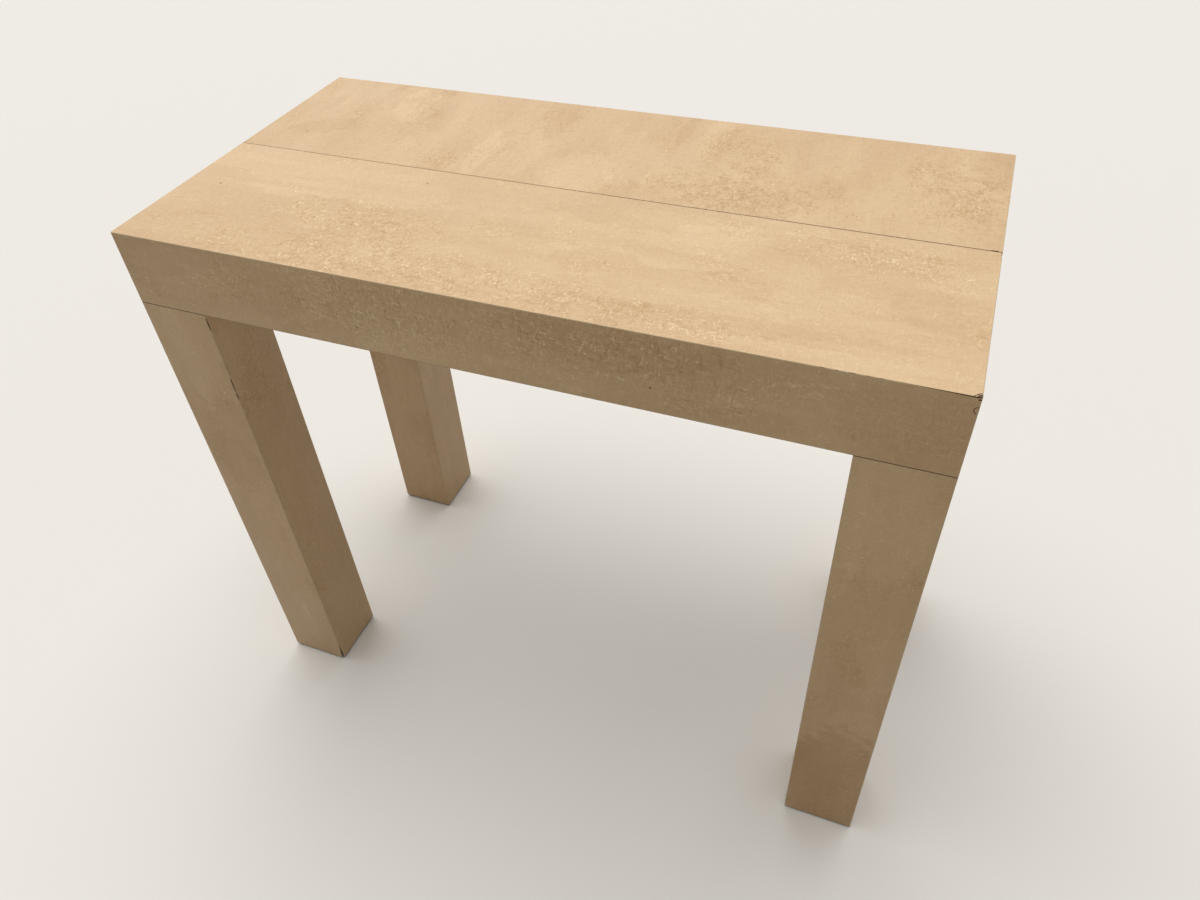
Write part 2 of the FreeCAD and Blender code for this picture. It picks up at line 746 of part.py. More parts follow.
def wood_screws(half):
    profile = [
        ("0", "-screw_head_height"),
        ("screw_head_radius", "-screw_head_height"),
        ("screw_head_radius", "0"),
        ("screw_radius", "0"),
        ("screw_radius", "screw_length - screw_radius"),
        ("0", "screw_length"),
    ]
    group(f"{half}_screws", [turned(f"{half}_screw", profile, x, y, z) for x, y, z in screw_places(half)])


# Assembly

for half in HALVES:
    top_panel(half)
    long_apron(half)
    for side in SIDES:
        end_apron(half, side)
        leg_boards(half, side)
    leg_plugs(half)
    corner_plates(half)
    leg_bolts(half)
    leg_inserts(half)
    foot_glides(half)
    wood_screws(half)
rail_pack()
seam_dowels()
dowel_sockets()
latch_bases()
latch_keepers()
latch_pivots()
for side in SIDES:
    latch_lever(side)

# Checks and export

doc.recompute()
failed = [item.Label for item in doc.Objects if {"Invalid", "Error"} & set(item.State)]
failed += [node.Label for node in nodes if node.Shape.isNull() or not node.Shape.isValid()]
if failed:
    raise RuntimeError(f"these pieces failed to build: {failed}")
os.makedirs("parts", exist_ok=True)
for node in nodes:
    node.Shape.exportStep(f"parts/{node.Label}.step")
print(f"{len(nodes)} nodes, {sum(len(node.Shape.Solids) for node in nodes)} solids")
print(f"draw of one rail in the next {value(RAIL_LENGTH + ' - rail_overlap'):.1f} mm")
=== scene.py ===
import bmesh
import bpy
from math import cos, radians, sin
from mathutils import Matrix, Vector


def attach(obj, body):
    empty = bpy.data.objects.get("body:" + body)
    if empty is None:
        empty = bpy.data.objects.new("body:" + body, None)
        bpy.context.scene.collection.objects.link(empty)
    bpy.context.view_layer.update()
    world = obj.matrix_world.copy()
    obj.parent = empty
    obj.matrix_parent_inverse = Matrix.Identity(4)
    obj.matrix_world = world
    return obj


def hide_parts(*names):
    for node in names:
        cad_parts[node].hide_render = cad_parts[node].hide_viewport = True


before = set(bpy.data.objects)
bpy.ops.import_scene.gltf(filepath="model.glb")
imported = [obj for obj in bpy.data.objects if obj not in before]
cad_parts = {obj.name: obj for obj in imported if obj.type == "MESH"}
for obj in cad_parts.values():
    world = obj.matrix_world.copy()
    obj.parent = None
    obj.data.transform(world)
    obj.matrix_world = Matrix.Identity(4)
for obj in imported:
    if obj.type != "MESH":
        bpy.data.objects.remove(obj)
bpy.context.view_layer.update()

# Legs
# Each leg is a hollow post of four chipboard boards faced with a concrete-effect melamine foil.
# The boards are mitred and glued along the corners, and their sawn ends are bare chipboard.

# Sizes and places are in mm, up to the floor. A point NEAR a plane lies on it, and edges shorter
# than a SLIVER are merged after a cut.
MM = 0.001
NEAR = 0.01
SLIVER = 0.01
TABLE_WIDTH = 900
TABLE_DEPTH = 450
BOARD = 18
LEG_SIDE = 90
LEG_FOOT = 3
LEG_HEAD = 670
LEG_ARRIS = 0.9
LEG_FOOT_ARRIS = 0.45
LEG_HEAD_ARRIS = 0.75
GLUE_LINE = 0.04
FRONT_AND_REAR = {"front": -1, "rear": 1}
LEFT_AND_RIGHT = {"left": -1, "right": 1}
# Finishes of a board, in the order of its material slots
FACE, ARRIS, GRIME_AND_SHADE, BACK, SAWN, DIRT = range(6)
# Sockets of a colour mix, whose names repeat
AMOUNT, FROM, TO = 0, 6, 7
MIXED = 2


def linear(hex_colour):
    """An sRGB hex colour as linear light."""
    parts = [int(hex_colour[start:start + 2], 16) / 255 for start in (1, 3, 5)]
    return tuple(p / 12.92 if p <= 0.04045 else ((p + 0.055) / 1.055) ** 2.4 for p in parts) + (1.0,)


def add_node(tree, kind, inputs, **settings):
    """Adds a node with its settings, and fills its inputs with values or other nodes' outputs."""
    node = tree.nodes.new(kind)
    for name, setting in settings.items():
        setattr(node, name, setting)
    for socket, source in inputs.items():
        if isinstance(source, bpy.types.NodeSocket):
            tree.links.new(source, node.inputs[socket])
        else:
            node.inputs[socket].default_value = source
    return node


def start_material(name, roughness, metallic=0.0):
    """A new material, its node tree, its shader and the place of each point, in metres."""
    material = bpy.data.materials.new(name)
    material.use_nodes = True
    tree = material.node_tree
    shader = tree.nodes["Principled BSDF"]
    shader.inputs["Roughness"].default_value = roughness
    shader.inputs["Metallic"].default_value = metallic
    place = add_node(tree, "ShaderNodeTexCoord", {}).outputs["Object"]
    return material, tree, shader, place


def per_metre(size):
    """The scale of a pattern whose features are so many millimetres across."""
    return 1000 / size


def faded_area(tree, place, centre, size, turn):
    """1 at a centre, down to 0 where its reach ends. Places and sizes are in mm, the turn in degrees."""
    inputs = {"Vector": place, "Location": Vector(centre) * MM, "Scale": Vector(size) * MM}
    inputs["Rotation"] = (0.0, 0.0, radians(turn))
    spot = add_node(tree, "ShaderNodeMapping", inputs, vector_type="TEXTURE").outputs[0]
    inputs = {"Vector": spot}
    return add_node(tree, "ShaderNodeTexGradient", inputs, gradient_type="SPHERICAL").outputs[1]


# The melamine foil is printed to look like floated cement: trowelled patches with lapped edges, faint
# bands, and rubbed areas with short pale and dark strokes. It is satin, with the strokes embossed.
FOIL_DARK = "#BF9868"
FOIL_PALE = "#EBCC9F"
FOIL_WORN = "#F5E0BA"
FOIL_RUBBED = "#AC8259"
FOIL_SPECK = "#4A3622"
FOIL_ROUGHNESS = 0.5
FOIL_RELIEF = 0.2
PORE_SPACING = 11
PORE_DARKNESS = 0.12
SPECK_DARKNESS = 0.9
# For each layer of the print: the width of its features in mm, how many times longer they are along
# the board, its detail, and its tilt in degrees. The tilted strokes are bent too, and so lie loosely
PRINT_LAYERS = {
    "clouds": (110, 1.6, 3.0, 0),
    "patches": (70, 1.7, 0.0, 0),
    "bands": (24, 9.0, 2.0, 0),
    "wear": (75, 1.6, 3.0, 0),
    "ragged": (16, 1.0, 3.0, 0),
    "grit": (1.5, 1.0, 1.0, 0),
    "strokes": (2.6, 3.4, 1.0, 6),
    "cross strokes": (7.0, 0.36, 1.0, 9),
}
LAYER_ROUGHNESS = 0.55
STROKE_BEND = 1.3
LAP_UNEVENNESS = 0.9
LAP_SOFTNESS = 0.22
# How much each layer moves the tone, and the strokes where the print is whole and where it is rubbed
TONE_WEIGHTS = {"clouds": 0.38, "patches": 0.2, "bands": 0.3, "grit": 0.12}
COMMON_STROKES = (0.18, 0.8)
STRONG_STROKES = (7.5, 23.0)
BROWNED = 0.12
# Where the noise begins to show and where it shows in full, for general wear, rubbed areas, trowel
# marks, paper laid bare and pores
WEAR_SHOWS = (0.54, 0.78)
AREA_SHOWS = (0.04, 0.4)
MARK_SHOWS = (0.62, 0.82)
PAPER_SHOWS = (0.8, 1.5)
PORE_SHOWS = (0.09, 0.04)
AREA_SCATTER = (2.4, -0.75)
MARK_RAGGEDNESS = 0.7
PAPER_BARE = 0.8


def concrete_foil(name, along, paler, bolder=1.0, rubbed_areas=(), trowel_marks=(), specks=()):
    """The foil with its bands along one axis. Areas, marks and specks have places and sizes in mm."""
    material, tree, shader, place = start_material(name, FOIL_ROUGHNESS)
    layer = {}
    for part, (width, stretch, detail, tilt) in PRINT_LAYERS.items():
        size = [width * (bolder if tilt else 1.0) * MM] * 3
        size[along] *= stretch
        inputs = {"Vector": place, "Scale": size, "Rotation": [radians(tilt)] * 3}
        spot = add_node(tree, "ShaderNodeMapping", inputs, vector_type="TEXTURE").outputs[0]
        if part == "patches":
            # Flat trowelled patches, each of one tone, with uneven laps between them
            inputs = {"Vector": spot, "Scale": 3.0, "Detail": 4.0}
            uneven = add_node(tree, "ShaderNodeTexNoise", inputs).outputs["Color"]
            inputs = {0: uneven, 1: [LAP_UNEVENNESS] * 3, 2: spot}
            spot = add_node(tree, "ShaderNodeVectorMath", inputs, operation="MULTIPLY_ADD").outputs[0]
            inputs = {"Vector": spot, "Scale": 1.0, "Smoothness": LAP_SOFTNESS}
            laps = add_node(tree, "ShaderNodeTexVoronoi", inputs, feature="SMOOTH_F1").outputs["Color"]
            layer[part] = add_node(tree, "ShaderNodeSeparateColor", {"Color": laps}).outputs[0]
        else:
            inputs = {"Vector": spot, "Scale": 1.0, "Detail": detail, "Roughness": LAYER_ROUGHNESS}
            inputs["Distortion"] = STROKE_BEND if tilt else 0.0
            layer[part] = add_node(tree, "ShaderNodeTexNoise", inputs).outputs[0]

    # A rubbed area is scattered, and fades out from its centre
    inputs = {0: layer["ragged"], 1: AREA_SCATTER[0], 2: AREA_SCATTER[1]}
    scatter = add_node(tree, "ShaderNodeMath", inputs, operation="MULTIPLY_ADD").outputs[0]
    inputs = {"Value": layer["wear"], "From Min": WEAR_SHOWS[0], "From Max": WEAR_SHOWS[1]}
    rubbed = add_node(tree, "ShaderNodeMapRange", inputs).outputs[0]
    for centre, size, turn in rubbed_areas:
        inputs = {0: faded_area(tree, place, centre, size, turn), 1: scatter}
        spread = add_node(tree, "ShaderNodeMath", inputs, operation="MULTIPLY").outputs[0]
        inputs = {"Value": spread, "From Min": AREA_SHOWS[0], "From Max": AREA_SHOWS[1]}
        area = add_node(tree, "ShaderNodeMapRange", inputs).outputs[0]
        rubbed = add_node(tree, "ShaderNodeMath", {0: rubbed, 1: area}, operation="MAXIMUM").outputs[0]

    # Short strokes cross each other, thickest where it is rubbed. A few, taken by cubing, stand out
    amounts = []
    for whole, worn in (COMMON_STROKES, STRONG_STROKES):
        inputs = {"Value": rubbed, "To Min": whole * bolder, "To Max": worn * bolder}
        amounts.append(add_node(tree, "ShaderNodeMapRange", inputs).outputs[0])
    strokes = 0.0
    for part in ("strokes", "cross strokes"):
        inputs = {0: layer[part], 1: 0.5 - paler}
        offset = add_node(tree, "ShaderNodeMath", inputs, operation="SUBTRACT").outputs[0]
        peaks = add_node(tree, "ShaderNodeMath", {0: offset, 1: 3.0}, operation="POWER").outputs[0]
        for stroke, amount in zip((offset, peaks), amounts):
            inputs = {0: stroke, 1: amount, 2: strokes}
            strokes = add_node(tree, "ShaderNodeMath", inputs, operation="MULTIPLY_ADD").outputs[0]

    # Tone runs from the dark of the print at 0 to its pale at 1, and above that it is worn to the paper
    tone = add_node(tree, "ShaderNodeMath", {0: strokes, 1: 0.5}, operation="ADD").outputs[0]
    for part, weight in TONE_WEIGHTS.items():
        inputs = {0: layer[part], 1: weight, 2: -weight / 2}
        change = add_node(tree, "ShaderNodeMath", inputs, operation="MULTIPLY_ADD").outputs[0]
        tone = add_node(tree, "ShaderNodeMath", {0: tone, 1: change}, operation="ADD").outputs[0]
    for centre, size, turn, change in trowel_marks:
        # A trowel mark is flat, with a ragged edge
        faded = faded_area(tree, place, centre, size, turn)
        inputs = {0: layer["ragged"], 1: MARK_RAGGEDNESS, 2: faded}
        spread = add_node(tree, "ShaderNodeMath", inputs, operation="MULTIPLY_ADD").outputs[0]
        inputs = {"Value": spread, "From Min": MARK_SHOWS[0], "From Max": MARK_SHOWS[1]}
        mark = add_node(tree, "ShaderNodeMapRange", inputs).outputs[0]
        inputs = {0: mark, 1: change, 2: tone}
        tone = add_node(tree, "ShaderNodeMath", inputs, operation="MULTIPLY_ADD").outputs[0]
    ends = {AMOUNT: tone, FROM: linear(FOIL_DARK), TO: linear(FOIL_PALE)}
    colour = add_node(tree, "ShaderNodeMix", ends, data_type="RGBA").outputs[MIXED]
    inputs = {"Value": tone, "From Min": PAPER_SHOWS[0], "From Max": PAPER_SHOWS[1], "To Max": PAPER_BARE}
    worn = add_node(tree, "ShaderNodeMapRange", inputs).outputs[0]
    inputs = {0: rubbed, 1: BROWNED}
    browned = add_node(tree, "ShaderNodeMath", inputs, operation="MULTIPLY").outputs[0]

    # Faint pores all over, and single dark specks
    inputs = {"Vector": place, "Scale": per_metre(PORE_SPACING)}
    pores = add_node(tree, "ShaderNodeTexVoronoi", inputs).outputs["Distance"]
    inputs = {"Value": pores, "From Min": PORE_SHOWS[0], "From Max": PORE_SHOWS[1]}
    inputs["To Max"] = PORE_DARKNESS
    dark = add_node(tree, "ShaderNodeMapRange", inputs).outputs[0]
    for centre, radius in specks:
        inputs = {0: place, 1: Vector(centre) * MM}
        apart = add_node(tree, "ShaderNodeVectorMath", inputs, operation="DISTANCE").outputs["Value"]
        inputs = {"Value": apart, "From Min": radius / 2 * MM, "From Max": radius * MM}
        inputs.update({"To Min": SPECK_DARKNESS, "To Max": 0.0})
        speck = add_node(tree, "ShaderNodeMapRange", inputs).outputs[0]
        dark = add_node(tree, "ShaderNodeMath", {0: dark, 1: speck}, operation="MAXIMUM").outputs[0]
    for amount, tint in ((browned, FOIL_RUBBED), (worn, FOIL_WORN), (dark, FOIL_SPECK)):
        ends = {AMOUNT: amount, FROM: colour, TO: linear(tint)}
        colour = add_node(tree, "ShaderNodeMix", ends, data_type="RGBA").outputs[MIXED]
    tree.links.new(colour, shader.inputs["Base Color"])

    inputs = {"Value": rubbed, "To Min": FOIL_ROUGHNESS - 0.05, "To Max": FOIL_ROUGHNESS + 0.1}
    dull = add_node(tree, "ShaderNodeMapRange", inputs).outputs[0]
    tree.links.new(dull, shader.inputs["Roughness"])
    inputs = {0: layer["grit"], 1: 0.25, 2: strokes}
    emboss = add_node(tree, "ShaderNodeMath", inputs, operation="MULTIPLY_ADD").outputs[0]
    inputs = {"Height": emboss, "Distance": FOIL_RELIEF * MM, "Strength": 0.35}
    tree.links.new(add_node(tree, "ShaderNodeBump", inputs).outputs[0], shader.inputs["Normal"])
    return material


def mottled(name, roughness, dark, pale, width, relief, metallic=0.0, stretch=(1, 1, 1)):
    """A finish that wanders between two tones. The width of its features and its relief are in mm."""
    material, tree, shader, place = start_material(name, roughness, metallic)
    scale = [per_metre(width) / times for times in stretch]
    spot = add_node(tree, "ShaderNodeMapping", {"Vector": place, "Scale": scale}).outputs[0]
    inputs = {"Vector": spot, "Scale": 1.0, "Detail": 4.0}
    wander = add_node(tree, "ShaderNodeTexNoise", inputs).outputs[0]
    ends = {AMOUNT: wander, FROM: linear(dark), TO: linear(pale)}
    colour = add_node(tree, "ShaderNodeMix", ends, data_type="RGBA").outputs[MIXED]
    tree.links.new(colour, shader.inputs["Base Color"])
    inputs = {"Value": wander, "To Min": roughness - 0.1, "To Max": roughness + 0.1}
    tree.links.new(add_node(tree, "ShaderNodeMapRange", inputs).outputs[0], shader.inputs["Roughness"])
    inputs = {"Height": wander, "Distance": relief * MM, "Strength": 0.5}
    tree.links.new(add_node(tree, "ShaderNodeBump", inputs).outputs[0], shader.inputs["Normal"])
    return material


# Where the foil is folded over an arris it is rubbed pale, with a painted highlight, and along the joints
# and the lower edges it is dark with grime and painted shade.
# The back of a board has a plain buff paper foil, and brown dirt has settled in the chips.
rubbed_highlit_arris = mottled("melamine foil rubbed pale with painted highlight", 0.5, "#C19E6C", "#EDD5AE", 14, 0.05)
grimy_shaded_arris = mottled("melamine foil with grime and painted shade", 0.6, "#3A2A18", "#6B5030", 30, 0.05)
paper_backing = mottled("paper backing foil", 0.6, "#B9AA93", "#D2C6B2", 4, 0.1)
packed_dirt = mottled("dirt in a chip", 0.88, "#382517", "#66472C", 2, 0.2)

# Bare chipboard shows fine pressed flakes of several pale browns, about 2 mm across, with small dark
# gaps between. It is dull and a little rough.
FLAKE_WIDTH = 2.2
FLAKE_RELIEF = 0.3
FLAKE_DARK = "#B08D63"
FLAKE_PALE = "#DDC298"
FLAKE_GAP = "#76562F"
GAP_SHOWS = (0.45, 0.75)
GAP_DARKNESS = 0.4
bare_chipboard, tree, shader, place = start_material("bare chipboard", 0.85)
inputs = {"Vector": place, "Scale": per_metre(FLAKE_WIDTH)}
flakes = add_node(tree, "ShaderNodeTexVoronoi", inputs).outputs
flake_tone = add_node(tree, "ShaderNodeSeparateColor", {"Color": flakes["Color"]}).outputs[0]
ends = {AMOUNT: flake_tone, FROM: linear(FLAKE_DARK), TO: linear(FLAKE_PALE)}
flake_colour = add_node(tree, "ShaderNodeMix", ends, data_type="RGBA").outputs[MIXED]
inputs = {"Value": flakes["Distance"], "From Min": GAP_SHOWS[0], "From Max": GAP_SHOWS[1]}
inputs["To Max"] = GAP_DARKNESS
gaps = add_node(tree, "ShaderNodeMapRange", inputs).outputs[0]
ends = {AMOUNT: gaps, FROM: flake_colour, TO: linear(FLAKE_GAP)}
flake_colour = add_node(tree, "ShaderNodeMix", ends, data_type="RGBA").outputs[MIXED]
tree.links.new(flake_colour, shader.inputs["Base Color"])
inputs = {"Height": flakes["Distance"], "Distance": FLAKE_RELIEF * MM, "Strength": 0.5}
pits = add_node(tree, "ShaderNodeBump", inputs, invert=True).outputs[0]
tree.links.new(pits, shader.inputs["Normal"])

# Marks on the front legs, darker or paler than the foil around them, and the right leg darker towards its
# foot and paler near its head: centre, reach and turn, and how much paler each is
MARKS_LEGS = (
    ((412, -225, 100), (100, 40, 200), 0, -0.36),
    ((400, -225, 600), (80, 40, 140), 0, 0.15),
    ((-405, -225, 430), (60, 40, 80), 0, -0.16),
    ((-425, -225, 600), (50, 40, 120), 0, 0.12),
    ((-398, -225, 115), (7, 30, 30), 0, 0.2),
)
leg_foil = concrete_foil("concrete foil on upright boards", 2, 0.01, trowel_marks=MARKS_LEGS)


def blank(low, high):
    """A plain block between two corners, in mm."""
    bm = bmesh.new()
    bmesh.ops.create_cube(bm, size=1.0)
    size = [top - bottom for bottom, top in zip(low, high)]
    middle = [(top + bottom) / 2 for bottom, top in zip(low, high)]
    bmesh.ops.scale(bm, vec=Vector(size) * MM, verts=bm.verts)
    bmesh.ops.translate(bm, vec=Vector(middle) * MM, verts=bm.verts)
    return bm


def ease(bm, wanted, radius, finish):
    """Rounds the edges whose middle, in mm, is wanted."""
    edges = [edge for edge in bm.edges if wanted((edge.verts[0].co + edge.verts[1].co) / 2 / MM)]
    rounded = bmesh.ops.bevel(
        bm, geom=edges, offset=radius * MM, offset_type="OFFSET", affect="EDGES",
        segments=4, profile=0.5, material=-1,
    )
    for face in rounded["faces"]:
        face.material_index = finish


def sawn_board(bm, cuts):
    """A copy cut by planes. Each cut has a point in mm, the direction of the waste and a finish."""
    board = bm.copy()
    for point, waste, finish in cuts:
        cut = bmesh.ops.bisect_plane(
            board, geom=board.verts[:] + board.edges[:] + board.faces[:], dist=1e-7,
            plane_co=Vector(point) * MM, plane_no=Vector(waste).normalized(), clear_outer=True,
        )
        rim = [item for item in cut["geom_cut"] if isinstance(item, bmesh.types.BMEdge)]
        for face in bmesh.ops.edgeloop_fill(board, edges=rim)["faces"]:
            face.material_index = finish
    return board


def together(parts):
    """Several meshes as one."""
    whole = bmesh.new()
    for part in parts:
        mesh = bpy.data.meshes.new("part")
        part.to_mesh(mesh)
        part.free()
        whole.from_mesh(mesh)
        bpy.data.meshes.remove(mesh)
    return whole


def new_object(name, bm, materials=()):
    """The mesh as an object at the origin, with its materials."""
    bmesh.ops.recalc_face_normals(bm, faces=bm.faces)
    mesh = bpy.data.meshes.new(name)
    bm.to_mesh(mesh)
    bm.free()
    for material in materials:
        mesh.materials.append(material)
    made = bpy.data.objects.new(name, mesh)
    bpy.context.scene.collection.objects.link(made)
    return made


def board_finishes(foil):
    """The finishes of a board with this foil, in the order of its slots."""
    return foil, rubbed_highlit_arris, grimy_shaded_arris, paper_backing, bare_chipboard, packed_dirt


def gouge(bm, centre, radii, turn, finish, axis="Z"):
    """A worn place, as a long pebble to cut out. Its place and radii are in mm, its turn in degrees."""
    place = Matrix.Translation(Vector(centre) * MM) @ Matrix.Rotation(radians(turn), 4, axis)
    shape = place @ Matrix.Diagonal(Vector(radii) * MM).to_4x4()
    verts = bmesh.ops.create_icosphere(bm, subdivisions=2, radius=1.0, matrix=shape)["verts"]
    for face in {face for vert in verts for face in vert.link_faces}:
        face.material_index = finish


def cut_out(made, tools):
    """Cuts bores and worn places out of a piece. Each keeps its own finish."""
    cutter = new_object("cutter", tools)
    bore = made.modifiers.new("bore", "BOOLEAN")
    bore.object = cutter
    bore.operation = "DIFFERENCE"
    bore.solver = "EXACT"
    bore.use_self = True
    bore.material_mode = "INDEX"
    bpy.context.view_layer.update()
    worked = made.evaluated_get(bpy.context.evaluated_depsgraph_get())
    bored = bpy.data.meshes.new_from_object(worked)
    made.modifiers.clear()
    made.data = bored
    bpy.data.objects.remove(cutter)
    clean = bmesh.new()
    clean.from_mesh(bored)
    bmesh.ops.dissolve_degenerate(clean, dist=SLIVER * MM, edges=clean.edges)
    clean.to_mesh(bored)
    clean.free()


# On the front left leg the glue has let go at the foot of the inner front corner, where the mitre
# stands open, and the same corner is chipped higher up: the height and the length of each chip
WORN_LEG = ("front", "left")
WORN_CORNER = Vector((1, -1, 0))
OPEN_MITRE_HEIGHT = 37
OPEN_MITRE_WIDTH = 1.9
CHIPS = ((657, 22), (569, 26), (551, 14))
CHIP_WIDTH = 0.9
for half, outward in FRONT_AND_REAR.items():
    for side, sideways in LEFT_AND_RIGHT.items():
        reach = LEG_SIDE / 2
        x = sideways * (TABLE_WIDTH / 2 - reach)
        y = outward * (TABLE_DEPTH / 2 - reach)
        post = blank((x - reach, y - reach, LEG_FOOT), (x + reach, y + reach, LEG_HEAD))
        for face in post.faces:
            face.material_index = SAWN if abs(face.normal.z) > 0.5 else FACE
        # The long arrises are rubbed pale, with a painted highlight along them
        ease(post, lambda middle: LEG_FOOT + 1 < middle.z < LEG_HEAD - 1, LEG_ARRIS, ARRIS)
        # The foot and head arrises are dark with grime and painted shade, where the post meets the glides
        # and the apron
        ease(post, lambda middle: middle.z - LEG_FOOT < NEAR, LEG_FOOT_ARRIS, GRIME_AND_SHADE)
        ease(post, lambda middle: LEG_HEAD - middle.z < NEAR, LEG_HEAD_ARRIS, GRIME_AND_SHADE)

        boards = []
        axis = Vector((x, y, 0))
        for face_x, face_y in ((0, -1), (1, 0), (0, 1), (-1, 0)):
            facing = Vector((face_x, face_y, 0))
            cuts = [(axis + facing * (reach - BOARD), -facing, BACK)]
            for end in (-1, 1):
                edge = Vector((face_y, -face_x, 0)) * end
                waste = (edge - facing).normalized()
                cuts.append((axis - waste * GLUE_LINE, waste, SAWN))
                if (half, side) == WORN_LEG and edge + facing == WORN_CORNER:
                    opening = waste - Vector((0, 0, OPEN_MITRE_WIDTH / OPEN_MITRE_HEIGHT))
                    cuts.append((axis + Vector((0, 0, LEG_FOOT + OPEN_MITRE_HEIGHT)), opening, DIRT))
            boards.append(sawn_board(post, cuts))
        post.free()
        leg = new_object(f"{half}_{side}_leg_boards", together(boards), board_finishes(leg_foil))

        if (half, side) == WORN_LEG:
            chips = bmesh.new()
            for height, length in CHIPS:
                corner = axis + reach * WORN_CORNER + Vector((0, 0, height))
                gouge(chips, corner, (CHIP_WIDTH, CHIP_WIDTH, length / 2), 0, DIRT)
            cut_out(leg, chips)
        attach(leg, f"{half}_half")
        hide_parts(f"{half}_{side}_leg")

# Plugs, inserts and glides of the legs
# Chipboard plugs close the head and foot of each hollow post. The head plugs take two threaded
# steel inserts, and a moulded nylon glide is pinned under each foot.

# The zinc plate is a bright grey metal with faint cloudy patches, and the nylon is black with a dull,
# finely grained skin.
zinc_plate = mottled("zinc-plated steel", 0.34, "#B0B2AF", "#CFD1CE", 2.5, 0.008, metallic=1.0)
black_nylon = mottled("moulded black nylon", 0.5, "#131313", "#2A2928", 1.2, 0.08)


def dress(node, material):
    """Gives a solid of the frame its finish."""
    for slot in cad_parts[node].material_slots:
        slot.material = material


for half in FRONT_AND_REAR:
    dress(f"{half}_leg_plugs", bare_chipboard)
    dress(f"{half}_leg_inserts", zinc_plate)
    dress(f"{half}_foot_glides", black_nylon)

# Tops and aprons
# Each half is a top board with an apron and two end aprons folded down from it, of the same faced
# chipboard. All are mitred, so that the print runs over the edge, and square where the halves meet.
TOP = 760
APRON_FOOT = 670
SEAM = {"front": 5.0, "rear": 5.8}
SEAM_TAPER = {"front": 0.45, "rear": 0.0}
TOP_ARRIS = 0.9
BAND_ARRIS = 0.3
# Holes have a radius and a depth, and screws have a place. The tool of a bore stands out of the hole
# by BORE_MOUTH
DOWELS = (-380, 0, 380)
DOWEL_HEIGHT = 751
DOWEL_HOLE = {"front": (4.05, 18), "rear": (5.55, 14)}
LATCH_X = 90
SCREW_HOLE = (1.85, 13)
SCREWS = {
    "front": ((220.7, -32.5), (220.7, -99.5), (220.7, -166.5), (LATCH_X, -51), (LATCH_X, -67)),
    "rear": ((346.5, 41.5), (346.5, 104.9), (346.5, 168.3), (LATCH_X, 37.8), (LATCH_X, 53.8)),
}
BORE_MOUTH = 2
DOWEL_HOLE_SIDES = 32
SCREW_HOLE_SIDES = 20
BOARD_NODES = {
    "top": "top_panel", "apron": "apron", "left_end": "left_end_apron", "right_end": "right_end_apron",
}
# The foil's bands run along the front top and the aprons, and from front to back on the rear top and
# the ends. A rubbed area of the print has its centre, reach and turn, a trowel mark has these and how
# much paler it is, and a speck has its centre and radius.
RUBBED_FRONT = (
    ((-130, -200, 760), (330, 62, 70), 0),
    ((345, -40, 760), (120, 48, 50), 0),
    ((130, -205, 760), (190, 40, 40), 0),
    ((-200, -125, 760), (150, 60, 40), 0),
)
MARKS_FRONT = (
    ((150, -40, 760), (130, 42, 40), -6, 0.09),
    ((175, -100, 760), (180, 22, 40), -10, -0.1),
    ((285, -152, 760), (230, 15, 40), 2, 0.1),
    ((240, -184, 760), (270, 14, 40), 1, -0.13),
    ((320, -208, 760), (200, 12, 40), 1, 0.1),
    ((420, -118, 760), (95, 52, 40), 0, -0.14),
    ((-310, -74, 760), (150, 9, 40), 2, -0.06),
    ((-295, -84, 760), (140, 8, 40), 2, 0.05),
)
RUBBED_APRON = (
    ((110, -225, 732), (200, 60, 50), 0),
    ((-130, -225, 722), (150, 40, 60), 0),
)
MARKS_APRON = (
    ((130, -225, 738), (190, 40, 40), 0, -0.12),
    ((410, -225, 715), (110, 40, 80), 0, -0.17),
    ((-360, -225, 730), (130, 40, 40), 0, 0.1),
    ((-120, -225, 690), (210, 40, 30), 0, 0.12),
    ((270, -225, 686), (60, 40, 24), 0, -0.12),
    ((60, -225, 684), (120, 40, 22), 0, 0.1),
)
RUBBED_REAR = (
    ((175, 45, 760), (150, 72, 60), 0),
    ((180, 120, 760), (46, 80, 60), 0),
    ((405, 110, 760), (75, 110, 60), 0),
)
MARKS_REAR = (
    ((-290, 172, 760), (42, 80, 40), 8, 0.18),
    ((-238, 140, 760), (24, 80, 40), 12, -0.1),
    ((-143, 58, 760), (20, 95, 40), 2, 0.18),
    ((-172, 50, 760), (14, 80, 40), 0, -0.08),
    ((-12, 46, 760), (72, 78, 40), 0, 0.16),
    ((-84, 180, 760), (26, 95, 40), 0, -0.1),
    ((75, 185, 760), (14, 80, 40), 0, -0.14),
    ((112, 180, 760), (24, 85, 40), -3, 0.12),
    ((-372, 78, 760), (76, 32, 40), 24, -0.14),
    ((435, 185, 760), (36, 80, 40), 0, -0.16),
    ((260, 165, 760), (46, 95, 40), 0, 0.12),
)
SPECKS_FRONT = (((-405, -94, 760), 1.7), ((-167, -26, 760), 1.3))
SPECKS_APRON = (((169, -225, 699), 1.5),)
SPECKS_REAR = (((-389, 58, 760), 1.4),)
front_foil = concrete_foil(
    "concrete foil on the front top", 0, 0.03, 1.0, RUBBED_FRONT, MARKS_FRONT, SPECKS_FRONT
)
apron_foil = concrete_foil(
    "concrete foil on the aprons", 0, 0.04, 1.1, RUBBED_APRON, MARKS_APRON, SPECKS_APRON
)
rear_foil = concrete_foil(
    "concrete foil on the rear top", 1, -0.03, 1.0, RUBBED_REAR, MARKS_REAR, SPECKS_REAR
)
FOILS = {"front_top": front_foil, "front_apron": apron_foil, "rear_apron": apron_foil}

